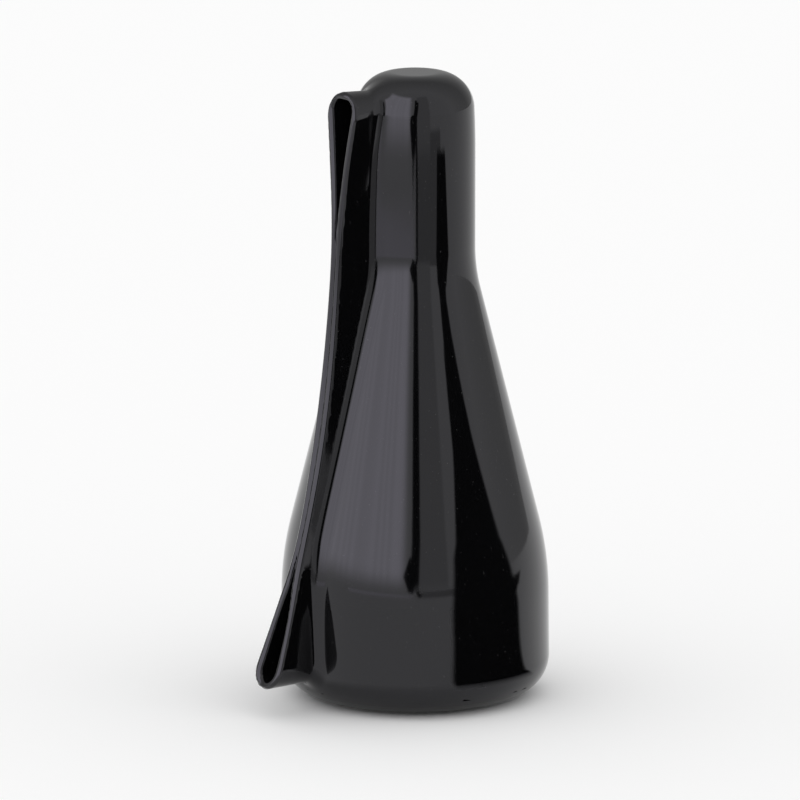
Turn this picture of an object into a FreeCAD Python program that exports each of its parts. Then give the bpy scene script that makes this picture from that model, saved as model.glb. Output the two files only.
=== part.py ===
"""Glossy black clay shaper: a hollow flared grip with a pinched lip down one side.

Millimetres, +Z up. The origin is on the tool's axis, on the table under the foot
pad. The lip stands out along -X, and the XZ plane is the plane of symmetry.
"""

import FreeCAD, Part
import math
import os
from FreeCAD import Vector

# Skin of the body, from the dome down to the joint with the base cap
HEIGHT = 180.0
WALL = 2.4
NECK_RADIUS = 17.1
SHOULDER_RADIUS = 16.4
DOME_BLEND = 10.5
SHOULDER_Z = 163.0
SHOULDER_BLEND = 250.0
NECK_END_Z = 123.8
NECK_BLEND = 50.0
CONE_END_RADIUS = 38.1
CONE_END_Z = 40.5
BELLY_BLEND = 90.0
BELLY_RADIUS = 38.5
FOOT_BLEND = 11.0
JOINT_Z = 5.0
BORE_RADIUS = 35.0

# Lip: two walls of the skin drawn out to a rim, pinched together over the middle.
# The rim's reaches from the axis steer a smooth curve, evenly from top to bottom.
LIP_TOP_Z = 177.3
LIP_BOTTOM_Z = 8.5
RIM_REACHES = (26.1, 30.1, 27.8, 39.0, 55.2)
LIP_ROOT_TOP_REACH = 11.0
LIP_ROOT_BOTTOM_REACH = 29.0
LIP_END_TOP_REACH = 29.0
LIP_END_BOTTOM_REACH = 60.0
PINCH_HALF_WIDTH = 2.2
PINCH_TOP_Z = 140.0
PINCH_BOTTOM_Z = 40.5
UPPER_MOUTH_HALF_WIDTH = 4.8
LOWER_MOUTH_HALF_WIDTH = 3.6
ROOT_WIDTH_SHARE = 0.35
ROOF_DROP = 1.0
LIP_FILLET = 3.0
TIP_HALF_WIDTH = 0.6
RIM_ROUND = 0.9
MOUTH_ROUND = 0.4

# Round ends of the lip and its mouths, as shares of the half width there
ROUND_CORNER = (0.707, 0.293)
MOUTH_TOP_CORNER = (0.8, 0.2)
LIP_TOP_SHARE = 1.1
MOUTH_TOP_SHARE = 0.95
LOWER_ROUND_SHARE = 1.6
LOWER_END_WALL_SHARE = 0.8

# How the walls run from the pinch out to the mouths: sags and rises in millimetres
PINCH_EASE_SHARE = 1.05
PINCH_EASE_TOP = 4.0
PINCH_EASE_BOTTOM = 3.0
PINCH_STRAIGHT_TOP = 30.0
PINCH_STRAIGHT_BOTTOM = 25.0
FLARE_SAG = 4.0
MOUTH_SAG = 1.0
LOWER_FLARE_DROP = 8.0
TIP_SHARE = 0.125
UPPER_TIP_RISE = 4.0
LOWER_TIP_DROP = 2.5

# Groove down the rim, where the pinched walls meet
CREASE_WIDTH = 0.5
CREASE_DEPTH = 1.0
CREASE_OVERLAP = 3.0

# Base cap, closing the underside of the skin
PAD_PROUD = 0.5
PAD_RADIUS = 25.0
PAD_THICKNESS = 2.0
PAD_CLEARANCE = 0.2
FLOOR_THICKNESS = 2.5
SPIGOT_WALL = 2.0
SPIGOT_CLEARANCE = 0.15
SPIGOT_TOP_Z = 12.5

# Screw bosses inside the skin, and the screws that hold the base cap to them
BOSS_COUNT = 3
BOSS_CIRCLE_RADIUS = 20.0
BOSS_RADIUS = 3.6
BOSS_TOP_Z = 24.0
RIB_THICKNESS = 2.0
RIB_CLEARANCE = 0.5
HOLE_SPARE = 1.0
SCREW_RADIUS = 1.5
SCREW_LENGTH = 12.0
SCREW_HEAD_RADIUS = 2.9
SCREW_HEAD_HEIGHT = 1.7
DRIVE_RADIUS = 1.1
DRIVE_DEPTH = 1.0
HEXAGON = 6

# Heights and radii that follow from the values above
FOOT_Z = PAD_PROUD
RECESS_TOP_Z = PAD_THICKNESS
FLOOR_TOP_Z = RECESS_TOP_Z + FLOOR_THICKNESS
SPIGOT_RADIUS = BORE_RADIUS - SPIGOT_CLEARANCE
LIP_HEIGHT = LIP_TOP_Z - LIP_BOTTOM_Z

# How near an edge's points lie to a surface that holds the edge, and the same point twice
EDGE_TOLERANCE = 0.002
SAME_POINT = 1e-6

# How far cutting shapes run past what they cut
OVERRUN = 5.0

AXIS = Vector(0, 0, 1)
ORIGIN = Vector(0, 0, 0)


def point(radius, z):
    """A point of a profile in the XZ plane."""
    return Vector(radius, 0, z)


def blended_edges(corners):
    """Lines through (radius, z, blend) corners, with an arc of that radius at each blend."""
    vertices = [point(radius, z) for radius, z, _ in corners]
    edges = []
    start = vertices[0]
    for index in range(1, len(corners) - 1):
        corner = vertices[index]
        blend = corners[index][2]
        if blend == 0:
            edges.append(Part.makeLine(start, corner))
            start = corner
            continue
        back = (vertices[index - 1] - corner).normalize()
        ahead = (vertices[index + 1] - corner).normalize()
        half_angle = back.getAngle(ahead) / 2
        reach = blend / math.tan(half_angle)
        middle = (back + ahead).normalize()
        sagitta = blend / math.sin(half_angle) - blend
        entry = corner + back * reach
        leave = corner + ahead * reach
        if entry.distanceToPoint(start) > SAME_POINT:
            edges.append(Part.makeLine(start, entry))
        edges.append(Part.Arc(entry, corner + middle * sagitta, leave).toShape())
        start = leave
    edges.append(Part.makeLine(start, vertices[-1]))
    return edges


def revolved(edges):
    """The solid inside a profile that starts and ends on the Z axis."""
    face = Part.Face(Part.Wire(edges))
    return face.revolve(ORIGIN, AXIS, 360)


def grip_form():
    """The whole outside of the grip without its lip, down to the foot."""
    corners = [
        (0, HEIGHT, 0),
        (SHOULDER_RADIUS, HEIGHT, DOME_BLEND),
        (NECK_RADIUS, SHOULDER_Z, SHOULDER_BLEND),
        (NECK_RADIUS, NECK_END_Z, NECK_BLEND),
        (CONE_END_RADIUS, CONE_END_Z, BELLY_BLEND),
        (BELLY_RADIUS, FOOT_Z, FOOT_BLEND),
        (0, FOOT_Z, 0),
    ]
    return revolved(blended_edges(corners) + [Part.makeLine(point(0, FOOT_Z), point(0, HEIGHT))])


def cavity():
    """The hollow of the grip: the outside moved in by the wall, with a straight bore below."""
    slope = math.atan2(CONE_END_RADIUS - NECK_RADIUS, NECK_END_Z - CONE_END_Z)
    neck_radius = NECK_RADIUS - WALL
    neck_end_z = NECK_END_Z - WALL * math.tan(slope / 2)
    bore_top_z = neck_end_z - (BORE_RADIUS - neck_radius) / math.tan(slope)
    top = HEIGHT - WALL
    corners = [
        (0, top, 0),
        (SHOULDER_RADIUS - WALL, top, DOME_BLEND - WALL),
        (neck_radius, SHOULDER_Z, SHOULDER_BLEND - WALL),
        (neck_radius, neck_end_z, NECK_BLEND + WALL),
        (BORE_RADIUS, bore_top_z, BELLY_BLEND - WALL),
        (BORE_RADIUS, FOOT_Z, 0),
        (0, FOOT_Z, 0),
    ]
    return revolved(blended_edges(corners) + [Part.makeLine(point(0, FOOT_Z), point(0, top))])


def leaning(half_width, z, top_reach, bottom_reach):
    """A point of a plane that leans from top_reach out at the lip's top to bottom_reach at its bottom."""
    share = (LIP_TOP_Z - z) / LIP_HEIGHT
    reach = top_reach + (bottom_reach - top_reach) * share
    return Vector(-reach, half_width, z)


def lip_sides(halves, top_reach, bottom_reach):
    """The two side curves of a closed loop in a leaning plane, each from top to bottom.

    An end whose neighbouring point is wide is round; a narrow one is a sharp tip.
    """
    across = Vector(0, 1, 0)
    round_ends = [halves[1][0] > TIP_HALF_WIDTH, halves[-2][0] > TIP_HALF_WIDTH]
    flags = [round_ends[0]] + [False] * (len(halves) - 2) + [round_ends[1]]
    edges = []
    for side in (1, -1):
        points = [leaning(side * w, z, top_reach, bottom_reach) for w, z in halves]
        tangents = [across * side] * (len(points) - 1) + [across * -side]
        curve = Part.BSplineCurve()
        curve.interpolate(Points=points, Tangents=tangents, TangentFlags=flags, Scale=False)
        edges.append(curve.toShape())
    return edges


def between_loops(root_halves, rim_halves):
    """The solid between a loop inside the body and a loop beyond the rim."""
    root = lip_sides(root_halves, LIP_ROOT_TOP_REACH, LIP_ROOT_BOTTOM_REACH)
    rim = lip_sides(rim_halves, LIP_END_TOP_REACH, LIP_END_BOTTOM_REACH)
    faces = [Part.makeRuledSurface(a, b) for a, b in zip(root, rim)]
    faces += [Part.Face(Part.Wire(sides)) for sides in (root, rim)]
    shell = Part.Shell(faces)
    shell.sewShape()
    solid = Part.Solid(shell)
    if solid.Volume < 0:
        solid.reverse()
    return solid


def outer_halves(upper, lower, drop):
    """Half widths of the outside of the lip where its mouths are this wide."""
    top = LIP_TOP_Z - drop
    upper_out = upper + WALL
    lower_out = lower + WALL
    pinch = PINCH_HALF_WIDTH
    return [
        (0, top),
        (upper_out * ROUND_CORNER[0], top - upper_out * ROUND_CORNER[1]),
        (upper_out, top - upper_out * LIP_TOP_SHARE),
        ((upper_out + pinch) / 2, (top + PINCH_TOP_Z) / 2 - FLARE_SAG),
        (pinch * PINCH_EASE_SHARE, PINCH_TOP_Z - PINCH_EASE_TOP),
        (pinch, PINCH_TOP_Z - PINCH_STRAIGHT_TOP),
        (pinch, PINCH_BOTTOM_Z + PINCH_STRAIGHT_BOTTOM),
        (pinch * PINCH_EASE_SHARE, PINCH_BOTTOM_Z + PINCH_EASE_BOTTOM),
        ((lower_out + pinch) / 2, PINCH_BOTTOM_Z - LOWER_FLARE_DROP),
        (lower_out, LIP_BOTTOM_Z + lower_out * LOWER_ROUND_SHARE),
        (lower_out * ROUND_CORNER[0], LIP_BOTTOM_Z + lower_out * ROUND_CORNER[1]),
        (0, LIP_BOTTOM_Z),
    ]


def upper_mouth_halves(half_width, drop):
    """Half widths of the upper mouth: a round top running down to a narrow end."""
    top = LIP_TOP_Z - drop - WALL
    return [
        (0, top),
        (half_width * MOUTH_TOP_CORNER[0], top - half_width * MOUTH_TOP_CORNER[1]),
        (half_width, top - half_width * MOUTH_TOP_SHARE),
        (half_width / 2, (top + PINCH_TOP_Z) / 2 - MOUTH_SAG),
        (half_width * TIP_SHARE, PINCH_TOP_Z + UPPER_TIP_RISE),
        (0, PINCH_TOP_Z),
    ]


def lower_mouth_halves(half_width):
    """Half widths of the lower mouth: a narrow end widening to a round bottom."""
    bottom = LIP_BOTTOM_Z + WALL * LOWER_END_WALL_SHARE
    return [
        (0, PINCH_BOTTOM_Z),
        (half_width * TIP_SHARE, PINCH_BOTTOM_Z - LOWER_TIP_DROP),
        (half_width / 2, PINCH_BOTTOM_Z - LOWER_FLARE_DROP),
        (half_width, bottom + half_width * LOWER_ROUND_SHARE),
        (half_width * ROUND_CORNER[0], bottom + half_width * ROUND_CORNER[1]),
        (0, bottom),
    ]


def rim_face(set_back, far_reach):
    """The part of the XZ plane beyond the rim's curve, moved inwards by set_back."""
    step = LIP_HEIGHT / (len(RIM_REACHES) - 1)
    poles = [
        point(set_back - reach, LIP_TOP_Z - step * index)
        for index, reach in enumerate(RIM_REACHES)
    ]
    curve = Part.BezierCurve()
    curve.setPoles(poles)
    top, bottom = poles[0], poles[-1]
    corners = [
        bottom,
        bottom - AXIS * OVERRUN,
        point(-far_reach, bottom.z - OVERRUN),
        point(-far_reach, top.z + OVERRUN),
        top + AXIS * OVERRUN,
        top,
    ]
    lines = [Part.makeLine(a, b) for a, b in zip(corners, corners[1:])]
    return Part.Face(Part.Wire([curve.toShape()] + lines))


def beyond_rim(set_back, half_width):
    """Everything outside the rim's curve, over this half width each side."""
    face = rim_face(set_back, LIP_END_BOTTOM_REACH + OVERRUN)
    face.translate(Vector(0, -half_width, 0))
    return face.extrude(Vector(0, 2 * half_width, 0))


def boss_angles():
    """The first boss is opposite the lip, and the others stand evenly round the axis."""
    return [index * 360 / BOSS_COUNT for index in range(BOSS_COUNT)]


def turned(shape, angle):
    """The shape turned about the Z axis."""
    copy = shape.copy()
    copy.rotate(ORIGIN, AXIS, angle)
    return copy


def boss():
    """A screw boss with the rib that ties it to the skin, on the +X side."""
    height = BOSS_TOP_Z - FLOOR_TOP_Z
    foot = Vector(BOSS_CIRCLE_RADIUS, 0, FLOOR_TOP_Z)
    pillar = Part.makeCylinder(BOSS_RADIUS, height, foot)
    rib_length = BORE_RADIUS + WALL / 2 - BOSS_CIRCLE_RADIUS
    rib_foot = Vector(BOSS_CIRCLE_RADIUS, -RIB_THICKNESS / 2, SPIGOT_TOP_Z + RIB_CLEARANCE)
    rib = Part.makeBox(rib_length, RIB_THICKNESS, BOSS_TOP_Z - rib_foot.z, rib_foot)
    hole_depth = SCREW_LENGTH - FLOOR_THICKNESS + HOLE_SPARE
    hole = Part.makeCylinder(SCREW_RADIUS, hole_depth, foot)
    return pillar.fuse(rib).cut(hole)


def raw_lip():
    """The outside of the lip, from inside the grip to its rim."""
    root = outer_halves(
        UPPER_MOUTH_HALF_WIDTH * ROOT_WIDTH_SHARE,
        LOWER_MOUTH_HALF_WIDTH * ROOT_WIDTH_SHARE,
        ROOF_DROP,
    )
    rim = outer_halves(UPPER_MOUTH_HALF_WIDTH, LOWER_MOUTH_HALF_WIDTH, 0)
    return between_loops(root, rim).cut(beyond_rim(0, 2 * UPPER_MOUTH_HALF_WIDTH))


def mouths():
    """The two openings between the lip's walls, from the hollow out through the rim."""
    upper = between_loops(
        upper_mouth_halves(UPPER_MOUTH_HALF_WIDTH * ROOT_WIDTH_SHARE, ROOF_DROP),
        upper_mouth_halves(UPPER_MOUTH_HALF_WIDTH, 0),
    )
    lower = between_loops(
        lower_mouth_halves(LOWER_MOUTH_HALF_WIDTH * ROOT_WIDTH_SHARE),
        lower_mouth_halves(LOWER_MOUTH_HALF_WIDTH),
    )
    return upper, lower


def crease():
    """The shallow groove between the pinched walls, down the rim from mouth to mouth."""
    groove = beyond_rim(CREASE_DEPTH, CREASE_WIDTH / 2)
    height = PINCH_TOP_Z - PINCH_BOTTOM_Z + 2 * CREASE_OVERLAP
    corner = Vector(-LIP_END_BOTTOM_REACH, -CREASE_WIDTH, PINCH_BOTTOM_Z - CREASE_OVERLAP)
    return groove.common(Part.makeBox(LIP_END_BOTTOM_REACH, 2 * CREASE_WIDTH, height, corner))


def edges_on(shape, surface):
    """The spline edges of a shape that lie on this surface."""
    found = []
    for edge in shape.Edges:
        first, last = edge.ParameterRange
        marks = [edge.valueAt(first + (last - first) * share) for share in (0, 0.3, 0.7, 1)]
        gaps = [surface.distToShape(Part.Vertex(mark))[0] for mark in marks]
        if edge.Curve.TypeId == "Part::GeomBSplineCurve" and max(gaps) < EDGE_TOLERANCE:
            found.append(edge)
    return found


def above_joint():
    """A block that takes in everything above the joint with the base cap."""
    side = 2 * LIP_END_BOTTOM_REACH
    return Part.makeBox(side, side, HEIGHT, Vector(-side / 2, -side / 2, JOINT_Z))


def body_shell():
    """Neck, cone, belly and lip as one moulded skin, open below at the joint."""
    form = grip_form()
    rim = beyond_rim(0, 2 * UPPER_MOUTH_HALF_WIDTH).Shells[0]
    solid = form.fuse(raw_lip())
    solid = solid.makeFillet(LIP_FILLET, edges_on(solid, form.Shells[0]))
    solid = solid.makeFillet(RIM_ROUND, edges_on(solid, rim))
    solid = solid.cut(cavity())
    for mouth in mouths():
        solid = solid.cut(mouth)
        mouth_edges = [edge for edge in edges_on(solid, rim) if edges_on(edge, mouth.Shells[0])]
        solid = solid.makeFillet(MOUTH_ROUND, mouth_edges)
    solid = solid.cut(crease()).common(above_joint())
    for angle in boss_angles():
        solid = solid.fuse(turned(boss(), angle))
    return solid.removeSplitter()


def base_cap():
    """The foot: the bottom of the grip's outside, with a spigot up into the bore."""
    rim = grip_form().cut(above_joint())
    spigot_height = SPIGOT_TOP_Z - FLOOR_TOP_Z
    floor = Part.makeCylinder(SPIGOT_RADIUS, FLOOR_TOP_Z - FOOT_Z, point(0, FOOT_Z))
    floor = floor.common(grip_form())
    spigot = Part.makeCylinder(SPIGOT_RADIUS, spigot_height, point(0, FLOOR_TOP_Z))
    spigot_bore = Part.makeCylinder(SPIGOT_RADIUS - SPIGOT_WALL, spigot_height, point(0, FLOOR_TOP_Z))
    solid = rim.fuse(floor).fuse(spigot.cut(spigot_bore))
    recess = Part.makeCylinder(PAD_RADIUS + PAD_CLEARANCE, RECESS_TOP_Z, ORIGIN)
    solid = solid.cut(recess)
    for angle in boss_angles():
        solid = solid.cut(turned(screw_hole(), angle))
    return solid.removeSplitter()


def screw_profile(tip_z):
    """A countersunk screw's outline, from its head at the recess up to its tip."""
    head_z = RECESS_TOP_Z
    return [
        point(0, head_z),
        point(SCREW_HEAD_RADIUS, head_z),
        point(SCREW_RADIUS, head_z + SCREW_HEAD_HEIGHT),
        point(SCREW_RADIUS, tip_z),
        point(0, tip_z),
        point(0, head_z),
    ]


def on_boss_circle(shape):
    """The shape moved out from the axis to the circle of bosses."""
    copy = shape.copy()
    copy.translate(Vector(BOSS_CIRCLE_RADIUS, 0, 0))
    return copy


def screw_hole():
    """The countersunk hole for a screw through the cap's floor."""
    outline = Part.Face(Part.makePolygon(screw_profile(FLOOR_TOP_Z)))
    return on_boss_circle(outline.revolve(ORIGIN, AXIS, 360))


def base_screw():
    """A countersunk screw with a hexagon socket, its tip up in the boss."""
    outline = Part.Face(Part.makePolygon(screw_profile(RECESS_TOP_Z + SCREW_LENGTH)))
    solid = outline.revolve(ORIGIN, AXIS, 360)
    corners = []
    for index in range(HEXAGON + 1):
        angle = math.tau * index / HEXAGON
        corners.append(Vector(DRIVE_RADIUS * math.cos(angle), DRIVE_RADIUS * math.sin(angle), RECESS_TOP_Z))
    socket = Part.Face(Part.makePolygon(corners)).extrude(AXIS * DRIVE_DEPTH)
    return on_boss_circle(solid.cut(socket))


def foot_pad():
    """The non-slip disc that covers the screws and stands a little proud of the foot."""
    return Part.makeCylinder(PAD_RADIUS, PAD_THICKNESS)


def build():
    """Every separate piece of the tool, by name."""
    pieces = {
        "body_shell": body_shell(),
        "base_cap": base_cap(),
        "foot_pad": foot_pad(),
    }
    for number, angle in enumerate(boss_angles(), start=1):
        pieces[f"base_screw_{number}"] = turned(base_screw(), angle)
    return pieces


if __name__ == "__main__":
    os.makedirs("parts", exist_ok=True)
    for name, piece in build().items():
        piece.exportStep(f"parts/{name}.step")
        print(name, piece.isValid(), len(piece.Solids), round(piece.Volume / 1000, 2), "cm3")
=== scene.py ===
"""Looks of the glossy black clay shaper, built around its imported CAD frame.

The skin is meshed from a formula: a turned grip, a lip of two thin walls blended into
it, the hollow inside, and the two mouths between the walls. Lengths in the shape
functions are in millimetres, and everything placed in the scene is in metres.
"""

import math

import bmesh
import bpy
import numpy as np
import openvdb
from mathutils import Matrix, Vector


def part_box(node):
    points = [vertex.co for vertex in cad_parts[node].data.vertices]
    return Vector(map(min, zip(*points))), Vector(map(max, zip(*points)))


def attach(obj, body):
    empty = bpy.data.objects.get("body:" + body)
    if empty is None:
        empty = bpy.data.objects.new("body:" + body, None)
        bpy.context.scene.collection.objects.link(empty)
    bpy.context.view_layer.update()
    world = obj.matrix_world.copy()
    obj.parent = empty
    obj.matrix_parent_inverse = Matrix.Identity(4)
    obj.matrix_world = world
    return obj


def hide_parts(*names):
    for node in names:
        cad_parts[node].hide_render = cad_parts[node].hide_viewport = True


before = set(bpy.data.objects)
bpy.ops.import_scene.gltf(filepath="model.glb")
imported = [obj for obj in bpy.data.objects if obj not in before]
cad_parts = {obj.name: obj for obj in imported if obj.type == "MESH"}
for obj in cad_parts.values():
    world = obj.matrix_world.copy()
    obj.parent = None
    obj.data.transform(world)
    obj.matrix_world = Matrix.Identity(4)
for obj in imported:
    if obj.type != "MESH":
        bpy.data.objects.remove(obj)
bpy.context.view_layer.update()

MM = 0.001
VOXEL_MM = 1.05
FAR = 1e9
TINY = 1e-6

# ---------------------------------------------------------------------------
# Driving sizes, in millimetres
# ---------------------------------------------------------------------------
shell_low, shell_high = [np.array(corner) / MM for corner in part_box("body_shell")]

HEIGHT = shell_high[2]
JOINT_Z = shell_low[2]
FOOT_Z = 0.5
WALL = 2.4
NECK_RADIUS = 17.1
SHOULDER_RADIUS = 16.4
DOME_BLEND = 10.5
SHOULDER_Z = 163.0
SHOULDER_BLEND = 250.0
NECK_END_Z = 123.8
NECK_BLEND = 50.0
CONE_END_RADIUS = 38.1
CONE_END_Z = 40.5
BELLY_BLEND = 90.0
BELLY_RADIUS = 38.5
FOOT_BLEND = 11.0
BORE_RADIUS = 35.0

LIP_TOP_Z = 177.3
LIP_BOTTOM_Z = 8.5
RIM_REACHES = (26.1, 30.1, 27.8, 39.0, 55.2)
ROOT_TOP_REACH, ROOT_BOTTOM_REACH = 11.0, 29.0
END_TOP_REACH, END_BOTTOM_REACH = 29.0, 60.0
ROOT_WIDTH_SHARE = 0.35
ROOF_DROP = 1.0
PINCH_HALF_WIDTH = 2.2
PINCH_TOP_Z = 140.0
PINCH_BOTTOM_Z = 40.5
UPPER_MOUTH_HALF_WIDTH = 4.8
LOWER_MOUTH_HALF_WIDTH = 3.6
UPPER_FLARE_Z = (154.7, 169.4)
LOWER_FLARE_Z = (32.5, 18.1)
UPPER_MOUTH_Z = (144.0, 156.5, 170.3)
LOWER_MOUTH_Z = (38.0, 32.5, 16.2)
TIP_SHARE = 0.125
MOUTH_END_WALL = 0.8 * WALL
LIP_FILLET = 3.0
RIM_ROUND = 1.12
CREASE_DEPTH = 0.7
CREASE_HALF_WIDTH = 0.55
CREASE_FADE_BELOW = 8.0
CREASE_FADE_ABOVE = 10.0

# How far inside the pinch, from its bottom and its top, its width starts to swell, how
# much of the mouths' width it has there, and how far in that share is nothing
STRAIGHT_MARGINS = (3.0, 4.0)
FLARE_START = 0.1
FLAT_MARGINS = (25.0, 30.0)

# Corner radii at the top and bottom, as shares of the half width
LIP_CORNERS = (1.25, 1.2)
MOUTH_CORNERS = (0.87, 1.2)

# The lip thickens from its rim to this where it meets the grip. The CAD's lip doesn't
LIP_ROOT_HALF_WIDTH = 4.0
LIP_ROOT_EASE = 0.5
LIP_END_SHARE = 1.2
MIDDLE_EASE = 1e-3


# ---------------------------------------------------------------------------
# Shape functions: negative inside, positive outside
# ---------------------------------------------------------------------------
def profile_pieces(corners):
    """Lines and arcs through (radius, z, blend) corners, as a G1 chain."""
    points = [np.array(corner[:2], float) for corner in corners]
    lines, arcs = [], []
    start = points[0]
    for index in range(1, len(points) - 1):
        corner, blend = points[index], corners[index][2]
        back = points[index - 1] - corner
        ahead = points[index + 1] - corner
        back /= np.linalg.norm(back)
        ahead /= np.linalg.norm(ahead)
        half_angle = math.acos(np.clip(back @ ahead, -1, 1)) / 2
        reach = blend / math.tan(half_angle)
        entry, leave = corner + back * reach, corner + ahead * reach
        middle = back + ahead
        centre = corner + middle / np.linalg.norm(middle) * blend / math.sin(half_angle)
        lines.append((start, entry))
        arcs.append((centre, blend, entry, leave))
        start = leave
    lines.append((start, points[-1]))
    return lines, arcs


def profile_distance(radius, z, pieces):
    """Signed distance to a profile whose points run from the top down its outer side."""
    lines, arcs = pieces
    best = np.full(radius.shape, FAR)
    sign = np.ones(radius.shape)
    for start, end in lines:
        along = end - start
        length = np.linalg.norm(along)
        along = along / length
        dr, dz = radius - start[0], z - start[1]
        reach = np.clip(dr * along[0] + dz * along[1], 0, length)
        gap = np.hypot(dr - reach * along[0], dz - reach * along[1])
        side = dr * -along[1] + dz * along[0]
        nearer = gap < best
        best = np.where(nearer, gap, best)
        sign = np.where(nearer, np.sign(side), sign)
    for centre, blend, entry, leave in arcs:
        middle = (entry + leave) / 2 - centre
        middle /= np.linalg.norm(middle)
        spread = (entry - centre) @ middle / blend
        first, last = entry - centre, leave - centre
        convex = first[0] * last[1] < first[1] * last[0]
        dr, dz = radius - centre[0], z - centre[1]
        reach = np.hypot(dr, dz)
        within = dr * middle[0] + dz * middle[1] >= spread * reach
        gap = np.where(within, np.abs(reach - blend), FAR)
        outside = (reach > blend) if convex else (reach < blend)
        nearer = gap < best
        best = np.where(nearer, gap, best)
        sign = np.where(nearer, np.where(outside, 1.0, -1.0), sign)
    return best * sign


GRIP = profile_pieces([
    (0, HEIGHT, 0),
    (SHOULDER_RADIUS, HEIGHT, DOME_BLEND),
    (NECK_RADIUS, SHOULDER_Z, SHOULDER_BLEND),
    (NECK_RADIUS, NECK_END_Z, NECK_BLEND),
    (CONE_END_RADIUS, CONE_END_Z, BELLY_BLEND),
    (BELLY_RADIUS, FOOT_Z, FOOT_BLEND),
    (0, FOOT_Z, 0),
])

CONE_SLOPE = math.atan2(CONE_END_RADIUS - NECK_RADIUS, NECK_END_Z - CONE_END_Z)
INNER_NECK_END_Z = NECK_END_Z - WALL * math.tan(CONE_SLOPE / 2)
BORE_TOP_Z = INNER_NECK_END_Z - (BORE_RADIUS - NECK_RADIUS + WALL) / math.tan(CONE_SLOPE)
HOLLOW = profile_pieces([
    (0, HEIGHT - WALL, 0),
    (SHOULDER_RADIUS - WALL, HEIGHT - WALL, DOME_BLEND - WALL),
    (NECK_RADIUS - WALL, SHOULDER_Z, SHOULDER_BLEND - WALL),
    (NECK_RADIUS - WALL, INNER_NECK_END_Z, NECK_BLEND + WALL),
    (BORE_RADIUS, BORE_TOP_Z, BELLY_BLEND - WALL),
    (BORE_RADIUS, -HEIGHT, 0),
])


def rounded_max(a, b, radius):
    """Where both are negative, with the edge between them rounded."""
    u, v = a + radius, b + radius
    return np.minimum(np.maximum(u, v), 0) + np.hypot(np.maximum(u, 0), np.maximum(v, 0)) - radius


def rounded_min(a, b, radius):
    """Where either is negative, with a fillet in the corner between them."""
    return -rounded_max(-a, -b, radius)


def smooth_curve(stations, reach=80.0, step=0.1):
    """A table of the natural cubic curve through (z, value) stations, straight beyond its ends."""
    z, value = np.array(sorted(stations), float).T
    gap = np.diff(z)
    rise = np.diff(value) / gap
    count = len(z)
    matrix = np.eye(count)
    right = np.zeros(count)
    for index in range(1, count - 1):
        before, after = gap[index - 1], gap[index]
        matrix[index, index - 1:index + 2] = before, 2 * (before + after), after
        right[index] = 6 * (rise[index] - rise[index - 1])
    bend = np.linalg.solve(matrix, right)
    dense = np.arange(z[0], z[-1] + step, step).clip(z[0], z[-1])
    span = np.clip(np.searchsorted(z, dense) - 1, 0, count - 2)
    a = (z[span + 1] - dense) / gap[span]
    b = 1 - a
    curve = a * value[span] + b * value[span + 1]
    curve += ((a**3 - a) * bend[span] + (b**3 - b) * bend[span + 1]) * gap[span] ** 2 / 6
    first = (curve[1] - curve[0]) / step
    last = rise[-1] + gap[-1] * bend[-2] / 6
    table_z = np.concatenate([[z[0] - reach], dense, [z[-1] + reach]])
    table = np.concatenate([[value[0] - first * reach], curve, [value[-1] + last * reach]])
    return table_z, table


# Half widths along the lip: what they are where the mouths have no width, and what each
# mouth's width adds to them
OUTER_BASE = smooth_curve([
    (LOWER_FLARE_Z[1], WALL),
    (LOWER_FLARE_Z[0], (WALL + PINCH_HALF_WIDTH) / 2),
    (PINCH_BOTTOM_Z + STRAIGHT_MARGINS[0], PINCH_HALF_WIDTH),
    (PINCH_TOP_Z - STRAIGHT_MARGINS[1], PINCH_HALF_WIDTH),
    (UPPER_FLARE_Z[0], (WALL + PINCH_HALF_WIDTH) / 2),
    (UPPER_FLARE_Z[1], WALL),
])
OUTER_FLARE = smooth_curve([
    (LOWER_FLARE_Z[1], LOWER_MOUTH_HALF_WIDTH),
    (LOWER_FLARE_Z[0], LOWER_MOUTH_HALF_WIDTH / 2),
    (PINCH_BOTTOM_Z + STRAIGHT_MARGINS[0], FLARE_START),
    (PINCH_BOTTOM_Z + FLAT_MARGINS[0], 0),
    (PINCH_TOP_Z - FLAT_MARGINS[1], 0),
    (PINCH_TOP_Z - STRAIGHT_MARGINS[1], FLARE_START),
    (UPPER_FLARE_Z[0], UPPER_MOUTH_HALF_WIDTH / 2),
    (UPPER_FLARE_Z[1], UPPER_MOUTH_HALF_WIDTH),
])
UPPER_GAP = smooth_curve([
    (PINCH_TOP_Z, 0),
    (UPPER_MOUTH_Z[0], UPPER_MOUTH_HALF_WIDTH * TIP_SHARE),
    (UPPER_MOUTH_Z[1], UPPER_MOUTH_HALF_WIDTH / 2),
    (UPPER_MOUTH_Z[2], UPPER_MOUTH_HALF_WIDTH),
])
LOWER_GAP = smooth_curve([
    (PINCH_BOTTOM_Z, 0),
    (LOWER_MOUTH_Z[0], LOWER_MOUTH_HALF_WIDTH * TIP_SHARE),
    (LOWER_MOUTH_Z[1], LOWER_MOUTH_HALF_WIDTH / 2),
    (LOWER_MOUTH_Z[2], LOWER_MOUTH_HALF_WIDTH),
])


def rim_table(count=2000):
    """Heights, rim reaches and slopes of the rim's curve, which RIM_REACHES steer."""
    down = np.linspace(0, 1, count)
    degree = len(RIM_REACHES) - 1
    reach = sum(
        math.comb(degree, index) * down**index * (1 - down) ** (degree - index) * value
        for index, value in enumerate(RIM_REACHES)
    )
    z = LIP_TOP_Z - down * (LIP_TOP_Z - LIP_BOTTOM_Z)
    return z[::-1], reach[::-1], np.gradient(reach[::-1], z[::-1])


RIM_Z, RIM_REACH, RIM_SLOPE = rim_table()


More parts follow.
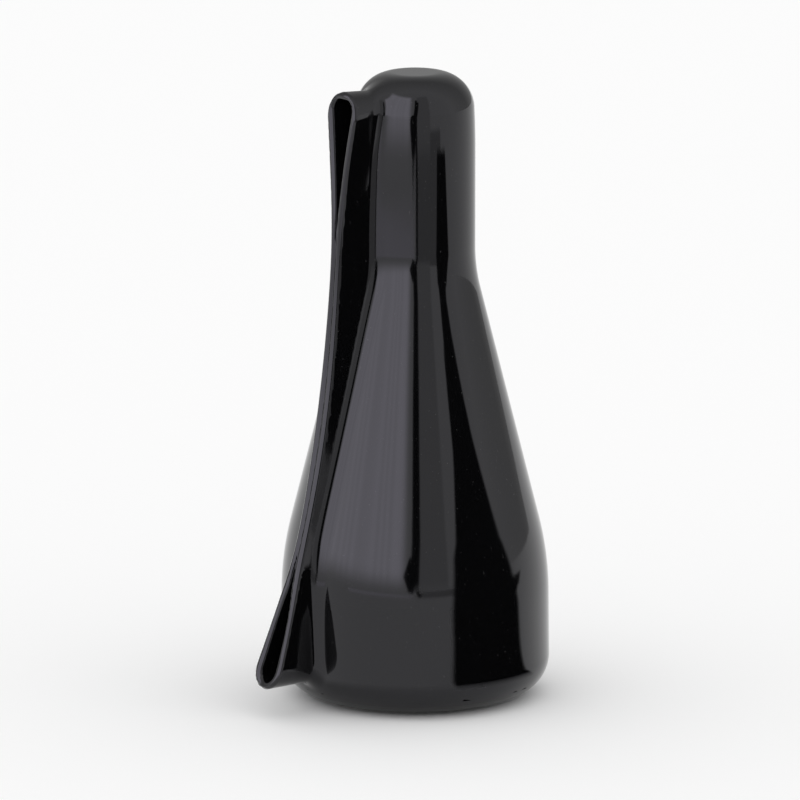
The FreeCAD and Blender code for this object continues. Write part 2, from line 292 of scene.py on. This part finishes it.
def smooth_step(value, start, end):
    """Goes from 0 at start to 1 at end."""
    share = np.clip((value - start) / (end - start), 0, 1)
    return share * share * (3 - 2 * share)


def lip_frame(x, z):
    """The share of the mouths' full width at a point of the lip, and its roof's height."""
    down = (LIP_TOP_Z - z) / (LIP_TOP_Z - LIP_BOTTOM_Z)
    root = ROOT_TOP_REACH + (ROOT_BOTTOM_REACH - ROOT_TOP_REACH) * down
    end = END_TOP_REACH + (END_BOTTOM_REACH - END_TOP_REACH) * down
    out = np.clip((-x - root) / (end - root), 0, LIP_END_SHARE)
    widen = ROOT_WIDTH_SHARE + (1 - ROOT_WIDTH_SHARE) * out
    top = LIP_TOP_Z - ROOF_DROP * (1 - out)
    return widen, top


def lip_distance(x, y, z, grip):
    """The outside of the lip, which thickens from its rim towards the grip."""
    widen, top = lip_frame(x, z)
    to_rim = np.maximum(x + np.interp(z, RIM_Z, RIM_REACH), 0)
    near_grip = to_rim / (to_rim + np.maximum(grip, 0) + TINY)
    half_width = np.interp(z, *OUTER_BASE) + widen * np.interp(z, *OUTER_FLARE)
    missing = LIP_ROOT_HALF_WIDTH - half_width
    added = (missing + np.hypot(missing, LIP_ROOT_EASE)) / 2
    lip = y - half_width - added * near_grip
    lip = rounded_max(lip, z - top, LIP_CORNERS[0] * (UPPER_MOUTH_HALF_WIDTH * widen + WALL))
    return rounded_max(lip, LIP_BOTTOM_Z - z, LIP_CORNERS[1] * (LOWER_MOUTH_HALF_WIDTH * widen + WALL))


def mouth_distance(x, y, z):
    """The two openings between the lip's walls."""
    widen, top = lip_frame(x, z)
    upper_corner = MOUTH_CORNERS[0] * UPPER_MOUTH_HALF_WIDTH * widen
    lower_corner = MOUTH_CORNERS[1] * LOWER_MOUTH_HALF_WIDTH * widen
    upper = rounded_max(y - widen * np.interp(z, *UPPER_GAP), z - top + WALL, upper_corner)
    lower_end = LIP_BOTTOM_Z + MOUTH_END_WALL - z
    lower = rounded_max(y - widen * np.interp(z, *LOWER_GAP), lower_end, lower_corner)
    return np.minimum(upper, lower)


def rim_distance(x, y, z):
    """How far a point is beyond the lip's rim, with the crease between the pinched walls."""
    above = smooth_step(z, PINCH_BOTTOM_Z - CREASE_FADE_BELOW, PINCH_BOTTOM_Z)
    below = smooth_step(z, PINCH_TOP_Z + CREASE_FADE_ABOVE, PINCH_TOP_Z)
    crease = CREASE_DEPTH * above * below * np.exp(-((y / CREASE_HALF_WIDTH) ** 2))
    slope = np.interp(z, RIM_Z, RIM_SLOPE)
    return (-x - np.interp(z, RIM_Z, RIM_REACH) + crease) / np.hypot(1, slope)


def skin_distance(points):
    """Signed distance, near enough, to the moulded skin with its lip, hollow and mouths."""
    x, z = points[..., 0], points[..., 2]
    y = np.sqrt(points[..., 1] ** 2 + MIDDLE_EASE)
    radius = np.hypot(x, points[..., 1])
    grip = profile_distance(radius, z, GRIP)
    hollow = profile_distance(radius, z, HOLLOW)
    inner_end = x + ROOT_TOP_REACH
    outside = rounded_min(grip, np.maximum(lip_distance(x, y, z, grip), inner_end), LIP_FILLET)
    walls = np.maximum(outside, -np.maximum(mouth_distance(x, y, z), inner_end))
    walls = rounded_max(walls, rim_distance(x, points[..., 1], z), RIM_ROUND)
    return np.maximum(walls, -hollow)


# ---------------------------------------------------------------------------
# Meshing
# ---------------------------------------------------------------------------
LEAST_SLOPE_SQUARED = 0.2
SLIDE_SHARE = 0.5
FINE_SHARE = 0.45
COARSE_SHARE = 1.15
FINE_SPAN_MM = 7.0
BAND_VOXELS = 3
MARGIN_VOXELS = 2
FIRST_ROUNDS = 4
EVEN_ROUNDS = 6
LAST_ROUNDS = 3


def gradient(points, step=0.02):
    """The direction in which the skin's distance grows, by central differences."""
    slope = np.empty_like(points)
    for axis in range(3):
        shift = np.zeros(3)
        shift[axis] = step
        slope[:, axis] = (skin_distance(points + shift) - skin_distance(points - shift)) / (2 * step)
    return slope


def settle(points, rounds):
    """Moves points onto the skin along its gradient."""
    for _ in range(rounds):
        slope = gradient(points)
        reach = skin_distance(points)[:, None]
        move = reach * slope / np.maximum((slope**2).sum(axis=1, keepdims=True), LEAST_SLOPE_SQUARED)
        points = points - np.clip(move, -VOXEL_MM, VOXEL_MM)
    return points


def even_out(points, quads, rounds):
    """Slides points along the surface towards the middle of their neighbours."""
    count = len(points)
    starts = quads.ravel()
    ends = np.roll(quads, -1, axis=1).ravel()
    first, second = np.concatenate([starts, ends]), np.concatenate([ends, starts])
    degree = np.bincount(first, minlength=count)[:, None]
    for _ in range(rounds):
        middle = np.stack([np.bincount(first, points[second, axis], count) for axis in range(3)], 1)
        move = middle / degree - points
        normal = gradient(points)
        normal /= np.maximum(np.linalg.norm(normal, axis=1, keepdims=True), TINY)
        move -= (move * normal).sum(axis=1, keepdims=True) * normal
        points = settle(points + SLIDE_SHARE * move, 1)
    return points


def graded(half_span, fine, coarse, fine_span):
    """Positions from -half_span to half_span, close together near zero."""
    steps = [0.0]
    while steps[-1] < half_span:
        share = smooth_step(steps[-1], fine_span, 2 * fine_span)
        steps.append(steps[-1] + fine + (coarse - fine) * share)
    steps = np.array(steps)
    return np.concatenate([-steps[:0:-1], steps])


def mesh_skin():
    """Points and quads of the skin, continued down to the foot."""
    low = np.array([shell_low[0], shell_low[1], FOOT_Z]) - MARGIN_VOXELS * VOXEL_MM
    high = shell_high + MARGIN_VOXELS * VOXEL_MM
    axes = [np.arange(low[axis], high[axis] + VOXEL_MM, VOXEL_MM) for axis in range(3)]
    axes[1] = graded(high[1], FINE_SHARE * VOXEL_MM, COARSE_SHARE * VOXEL_MM, FINE_SPAN_MM)
    field = np.empty([len(axis) for axis in axes], np.float32)
    for index, x in enumerate(axes[0]):
        sheet = np.stack(np.meshgrid([x], axes[1], axes[2], indexing="ij"), axis=-1)
        field[index] = skin_distance(sheet)[0]
    band = BAND_VOXELS * VOXEL_MM
    field = np.clip(field, -band, band)
    grid = openvdb.FloatGrid(band)
    grid.copyFromArray(field)
    points, quads = grid.convertToQuads(isovalue=0)
    marks = [np.arange(len(axis)) for axis in axes]
    points = np.stack([np.interp(points[:, axis], marks[axis], axes[axis]) for axis in range(3)], axis=1)
    points = settle(points, FIRST_ROUNDS)
    points = settle(even_out(points, quads, EVEN_ROUNDS), LAST_ROUNDS)
    points[:, :2] = points[:, :2].clip(shell_low[:2], shell_high[:2])
    return points, quads


def new_object(name, points_mm, faces, material):
    """A smooth mesh object from points in millimetres."""
    mesh = bpy.data.meshes.new(name)
    mesh.from_pydata((np.asarray(points_mm) * MM).tolist(), [], [list(map(int, face)) for face in faces])
    mesh.validate()
    mesh.shade_smooth()
    mesh.materials.append(material)
    thing = bpy.data.objects.new(name, mesh)
    bpy.context.collection.objects.link(thing)
    return thing


def build_skin(material):
    """The moulded skin, cut off at its joint with the base cap."""
    points, quads = mesh_skin()
    skin = new_object("skin", points, quads, material)
    shell = bmesh.new()
    shell.from_mesh(skin.data)
    bmesh.ops.bisect_plane(
        shell,
        geom=shell.verts[:] + shell.edges[:] + shell.faces[:],
        plane_co=(0, 0, JOINT_Z * MM),
        plane_no=(0, 0, 1),
        clear_inner=True,
    )
    bmesh.ops.recalc_face_normals(shell, faces=shell.faces[:])
    shell.to_mesh(skin.data)
    shell.free()
    count = len(skin.data.vertices)
    places = np.empty(count * 3)
    skin.data.vertices.foreach_get("co", places)
    normals = gradient(places.reshape(count, 3) / MM)
    normals /= np.linalg.norm(normals, axis=1, keepdims=True)
    skin.data.normals_split_custom_set_from_vertices(normals.tolist())
    return skin


# ---------------------------------------------------------------------------
# Materials
# ---------------------------------------------------------------------------
class Recipe:
    """A material's node tree, with short ways to add and join its nodes."""

    def __init__(self, name):
        self.material = bpy.data.materials.new(name)
        self.material.use_nodes = True
        self.tree = self.material.node_tree
        self.shader = self.tree.nodes["Principled BSDF"]
        self.place = self.tree.nodes.new("ShaderNodeTexCoord").outputs["Object"]

    def node(self, kind, **inputs):
        """A new node with these input values or links."""
        node = self.tree.nodes.new(kind)
        for name, value in inputs.items():
            self.put(node.inputs[name.replace("_", " ")], value)
        return node

    def put(self, socket, value):
        """Gives a socket a link or a value."""
        if isinstance(value, bpy.types.NodeSocket):
            self.tree.links.new(value, socket)
        else:
            socket.default_value = value

    def noise(self, stretch, detail, roughness=0.5):
        """Noise with this many features to a metre along each axis."""
        place = self.node("ShaderNodeMapping", Vector=self.place, Scale=stretch)
        noise = self.node(
            "ShaderNodeTexNoise", Vector=place.outputs[0], Scale=1.0, Detail=detail, Roughness=roughness
        )
        return noise.outputs["Fac"]

    def spread(self, value, start, end, low, high):
        """The value's range from start to end, carried over to low to high."""
        node = self.tree.nodes.new("ShaderNodeMapRange")
        for index, number in enumerate((value, start, end, low, high)):
            self.put(node.inputs[index], number)
        return node.outputs[0]

    def colours(self, share, first, second):
        """A colour between two, by this share."""
        ramp = self.tree.nodes.new("ShaderNodeValToRGB")
        ramp.color_ramp.elements[0].color = (*first, 1)
        ramp.color_ramp.elements[1].color = (*second, 1)
        self.put(ramp.inputs[0], share)
        return ramp.outputs[0]

    def bump(self, height, depth_mm, under=None):
        """The normal of a relief this deep, over another relief."""
        node = self.node("ShaderNodeBump", Height=height, Strength=1.0, Distance=depth_mm * MM)
        if under is not None:
            self.put(node.inputs["Normal"], under)
        return node.outputs[0]


def gloss_material(name):
    """Polished black moulding: faint mould waviness, upright draw marks, haze and fine dust."""
    recipe = Recipe(name)
    waves = recipe.noise((34, 34, 20), 1.5)
    draw_marks = recipe.noise((520, 520, 9), 2.0)
    haze = recipe.noise((30, 30, 18), 4.0, 0.65)
    dust = recipe.spread(recipe.noise((1900, 1900, 1900), 1.0), 0.73, 0.83, 0.0, 1.0)
    relief = recipe.bump(draw_marks, 0.0035, recipe.bump(waves, 0.09))
    tint = recipe.colours(dust, (0.002, 0.002, 0.0023), (0.05, 0.05, 0.05))
    recipe.put(recipe.shader.inputs["Base Color"], tint)
    recipe.put(recipe.shader.inputs["Roughness"], recipe.spread(haze, 0.35, 0.7, 0.045, 0.09))
    recipe.put(recipe.shader.inputs["Normal"], relief)
    recipe.shader.inputs["IOR"].default_value = 1.5
    recipe.shader.inputs["Specular Tint"].default_value = (0.95, 0.945, 1.0, 1)
    return recipe.material


def rubber_material():
    """Matt black rubber with a fine pebbled face and scuffs."""
    recipe = Recipe("pad_rubber")
    grain = recipe.noise((900, 900, 900), 3.0)
    scuffs = recipe.noise((60, 60, 60), 5.0, 0.7)
    tint = recipe.colours(scuffs, (0.012, 0.012, 0.012), (0.035, 0.034, 0.033))
    recipe.put(recipe.shader.inputs["Base Color"], tint)
    recipe.put(recipe.shader.inputs["Roughness"], recipe.spread(scuffs, 0.3, 0.7, 0.7, 0.88))
    recipe.put(recipe.shader.inputs["Normal"], recipe.bump(grain, 0.12))
    return recipe.material


def steel_material():
    """Turned and brushed steel."""
    recipe = Recipe("screw_steel")
    turning = recipe.noise((200, 200, 6000), 2.0)
    patches = recipe.noise((300, 300, 300), 2.0)
    tint = recipe.colours(patches, (0.45, 0.45, 0.46), (0.62, 0.61, 0.6))
    recipe.shader.inputs["Metallic"].default_value = 1.0
    recipe.put(recipe.shader.inputs["Base Color"], tint)
    recipe.put(recipe.shader.inputs["Roughness"], recipe.spread(turning, 0.3, 0.7, 0.25, 0.42))
    recipe.put(recipe.shader.inputs["Normal"], recipe.bump(turning, 0.01))
    return recipe.material


skin = build_skin(gloss_material("gloss_skin"))
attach(skin, "root")
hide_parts("body_shell")

cap_material = gloss_material("gloss_cap")
pad_material = rubber_material()
screw_material = steel_material()
for name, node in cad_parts.items():
    material = {"base_cap": cap_material, "foot_pad": pad_material}.get(name, screw_material)
    if name != "body_shell":
        for slot in node.material_slots:
            slot.material = material


# ---------------------------------------------------------------------------
# Studio
# ---------------------------------------------------------------------------
CAMERA_AZIMUTH = -38.0
CAMERA_ELEVATION = 12.0
CAMERA_DISTANCE = 3.0
FRAME_WIDTH = 0.2278
AIM_Z = 0.0851
AIM_SIDE = -0.0043
SENSOR_MM = 36.0
FLOOR_SIZE = 12
CARD_COLUMNS = 64
CARD_ROWS = 32
FOLD_WAVES = 61
DRIFT_WAVES = 17
FOLD_DRIFT = 3
COOL_WHITE = (0.985, 0.96, 1.05)
BEHIND_RADIANCE = 0.45
BEHIND_FACING = -0.5
AHEAD_FACING = 0.2


def direction(azimuth, elevation):
    """The unit vector towards an azimuth and elevation, in the views' own convention."""
    a, e = math.radians(azimuth), math.radians(elevation)
    return Vector((math.sin(a) * math.cos(e), -math.cos(a) * math.cos(e), math.sin(e)))


def add_camera():
    """The camera at the photograph's viewing angle."""
    camera_data = bpy.data.cameras.new("camera")
    camera_data.sensor_width = SENSOR_MM
    camera_data.lens = SENSOR_MM * CAMERA_DISTANCE / FRAME_WIDTH
    camera = bpy.data.objects.new("camera", camera_data)
    bpy.context.collection.objects.link(camera)
    towards = direction(CAMERA_AZIMUTH, CAMERA_ELEVATION)
    a = math.radians(CAMERA_AZIMUTH)
    right = Vector((math.cos(a), math.sin(a), 0))
    aim = Vector((0, 0, AIM_Z)) + right * AIM_SIDE
    camera.location = aim + towards * CAMERA_DISTANCE
    camera.rotation_euler = (-towards).to_track_quat("-Z", "Y").to_euler()
    bpy.context.scene.camera = camera


def add_floor():
    """A plain pale floor."""
    bpy.ops.mesh.primitive_plane_add(size=FLOOR_SIZE, location=(0, 0, 0))
    floor = bpy.context.object
    floor.name = "floor"
    material = bpy.data.materials.new("pale_floor")
    material.use_nodes = True
    shader = material.node_tree.nodes["Principled BSDF"]
    shader.inputs["Base Color"].default_value = (0.97, 0.97, 0.97, 1)
    shader.inputs["Roughness"].default_value = 0.9
    shader.inputs["Specular IOR Level"].default_value = 0.0
    floor.data.materials.append(material)


def card_material(name, colour, radiance):
    """Even light of this radiance that fades out along the card's edges."""
    material = bpy.data.materials.new(name)
    material.use_nodes = True
    material.cycles.emission_sampling = "NONE"
    nodes, links = material.node_tree.nodes, material.node_tree.links
    nodes.remove(nodes["Principled BSDF"])
    glow = nodes.new("ShaderNodeEmission")
    glow.inputs["Color"].default_value = (*colour, 1)
    glow.inputs["Strength"].default_value = radiance
    fade = nodes.new("ShaderNodeAttribute")
    fade.attribute_name = "fade"
    mix = nodes.new("ShaderNodeMixShader")
    links.new(fade.outputs["Fac"], mix.inputs[0])
    links.new(nodes.new("ShaderNodeBsdfTransparent").outputs[0], mix.inputs[1])
    links.new(glow.outputs[0], mix.inputs[2])
    links.new(mix.outputs[0], nodes["Material Output"].inputs["Surface"])
    return material


def cloth_fold(u):
    """How deep in a fold of a cloth card a point is, from 0 to 1, folds unevenly spaced."""
    return 0.5 + 0.5 * math.sin(FOLD_WAVES * u + FOLD_DRIFT * math.sin(DRIFT_WAVES * u))


def add_card(name, arcs, radiance, colour=(1, 1, 1), soft=(0.06, 0.06), ripple=0.0):
    """A studio card seen only in reflections, lofted through arcs round the object.

    Each arc is (first azimuth, last azimuth, radius, height), with azimuths counted
    from the camera's; soft is the share of the card's width and length that fades out,
    and ripple how much the folds of a cloth card dim it.
    """
    marks = np.linspace(0, len(arcs) - 1, CARD_ROWS + 1)
    rows = np.stack([np.interp(marks, range(len(arcs)), values) for values in zip(*arcs)], axis=1)
    points, fades = [], []
    for row, (first, last, radius, height) in enumerate(rows):
        v = row / CARD_ROWS
        for column in range(CARD_COLUMNS + 1):
            u = column / CARD_COLUMNS
            place = direction(CAMERA_AZIMUTH + first + (last - first) * u, 0) * radius
            points.append((place.x, place.y, height))
            fold = cloth_fold(u)
            side_fade = smooth_step(min(u, 1 - u), 0, soft[0])
            end_fade = smooth_step(min(v, 1 - v), 0, soft[1])
            fades.append(float(side_fade * end_fade * (1 - ripple * fold)))
    width = CARD_COLUMNS + 1
    corners = [row * width + column for row in range(CARD_ROWS) for column in range(CARD_COLUMNS)]
    faces = [(corner, corner + 1, corner + width + 1, corner + width) for corner in corners]
    mesh = bpy.data.meshes.new(name)
    mesh.from_pydata(points, [], faces)
    mesh.attributes.new("fade", "FLOAT", "POINT").data.foreach_set("value", fades)
    mesh.materials.append(card_material(name, colour, radiance))
    card = bpy.data.objects.new(name, mesh)
    bpy.context.collection.objects.link(card)
    card.visible_camera = False
    card.visible_diffuse = False
    card.visible_shadow = False


def add_cards():
    """The softbox at the camera's left, the grey card ahead and the dark flags at the right."""
    add_card(
        "softbox",
        [(-100, -5, 0.8, 0.0), (-100, -5, 0.8, 0.35), (-100, -5, 0.75, 0.7), (-95, -8, 0.5, 1.0)],
        2.5, COOL_WHITE, (0.1, 0.12), ripple=0.16,
    )
    add_card(
        "slit_flag",
        [(-5.5, 4.0, 0.78, 0.0), (-2.5, 7.0, 0.78, 0.5), (-2.0, 9.5, 0.6, 0.85)],
        0.0, soft=(0.2, 0.05),
    )
    add_card(
        "stand_flag",
        [(-5, -2, 0.77, 0.0), (-11, 3, 0.77, 0.09), (-5, 0, 0.77, 0.2)],
        0.0, soft=(0.15, 0.1),
    )
    add_card(
        "grey_card",
        [(2, 30, 0.8, 0.0), (2, 30, 0.8, 0.5), (2, 36, 0.5, 1.0)],
        0.75, soft=(0.12, 0.05),
    )
    add_card(
        "tall_flag",
        [
            (20, 84, 0.045, 0.002),
            (26, 90, 0.12, 0.002),
            (26, 91, 0.15, 0.01),
            (29, 78, 0.15, 0.066),
            (38, 64, 0.15, 0.105),
            (39, 55, 0.15, 0.14),
        ],
        0.0, soft=(0.07, 0.02),
    )
    add_card(
        "cone_flag",
        [(38, 54, 0.1, 0.108), (38, 54, 0.1, 0.122), (40, 52, 0.1, 0.142)],
        0.0, soft=(0.1, 0.05),
    )
    add_card(
        "side_flag",
        [(58, 88, 0.21, 0.002), (60, 98, 0.35, 0.002), (62, 104, 0.62, 0.002)],
        0.0, soft=(0.06, 0.1),
    )
    add_card("floor_grey", [(4, 50, 0.5, 0.001), (4, 50, 1.4, 0.001)], 0.5, soft=(0.06, 0.1))
    add_card("floor_line", [(1, 7, 0.5, 0.003), (-1, 5, 1.4, 0.003)], 0.0, soft=(0.35, 0.1))
    add_card("floor_light", [(-60, 1, 0.5, 0.001), (-60, 1, 0.78, 0.001)], 1.3, COOL_WHITE, (0.08, 0.3))
    add_card("near_light", [(-110, 40, 0.045, 0.001), (-110, 40, 0.25, 0.001)], 0.95, soft=(0.25, 0.1))


def add_world():
    """An even white surround, which polished faces see dimmer behind the object."""
    world = bpy.data.worlds.new("studio")
    bpy.context.scene.world = world
    world.use_nodes = True
    nodes, links = world.node_tree.nodes, world.node_tree.links
    background = nodes["Background"]
    background.inputs["Color"].default_value = (1, 1, 1, 1)
    facing = nodes.new("ShaderNodeVectorMath")
    facing.operation = "DOT_PRODUCT"
    facing.inputs[1].default_value = direction(CAMERA_AZIMUTH, 0)
    links.new(nodes.new("ShaderNodeTexCoord").outputs["Generated"], facing.inputs[0])
    dimmed = nodes.new("ShaderNodeMapRange")
    dimmed.inputs["From Min"].default_value = BEHIND_FACING
    dimmed.inputs["From Max"].default_value = AHEAD_FACING
    dimmed.inputs["To Min"].default_value = BEHIND_RADIANCE
    links.new(facing.outputs["Value"], dimmed.inputs["Value"])
    strength = nodes.new("ShaderNodeMix")
    strength.inputs["A"].default_value = 1.0
    links.new(nodes.new("ShaderNodeLightPath").outputs["Is Glossy Ray"], strength.inputs["Factor"])
    links.new(dimmed.outputs["Result"], strength.inputs["B"])
    links.new(strength.outputs["Result"], background.inputs["Strength"])


add_world()
add_floor()
add_cards()
add_camera()
bpy.context.scene.view_settings.view_transform = "Standard"
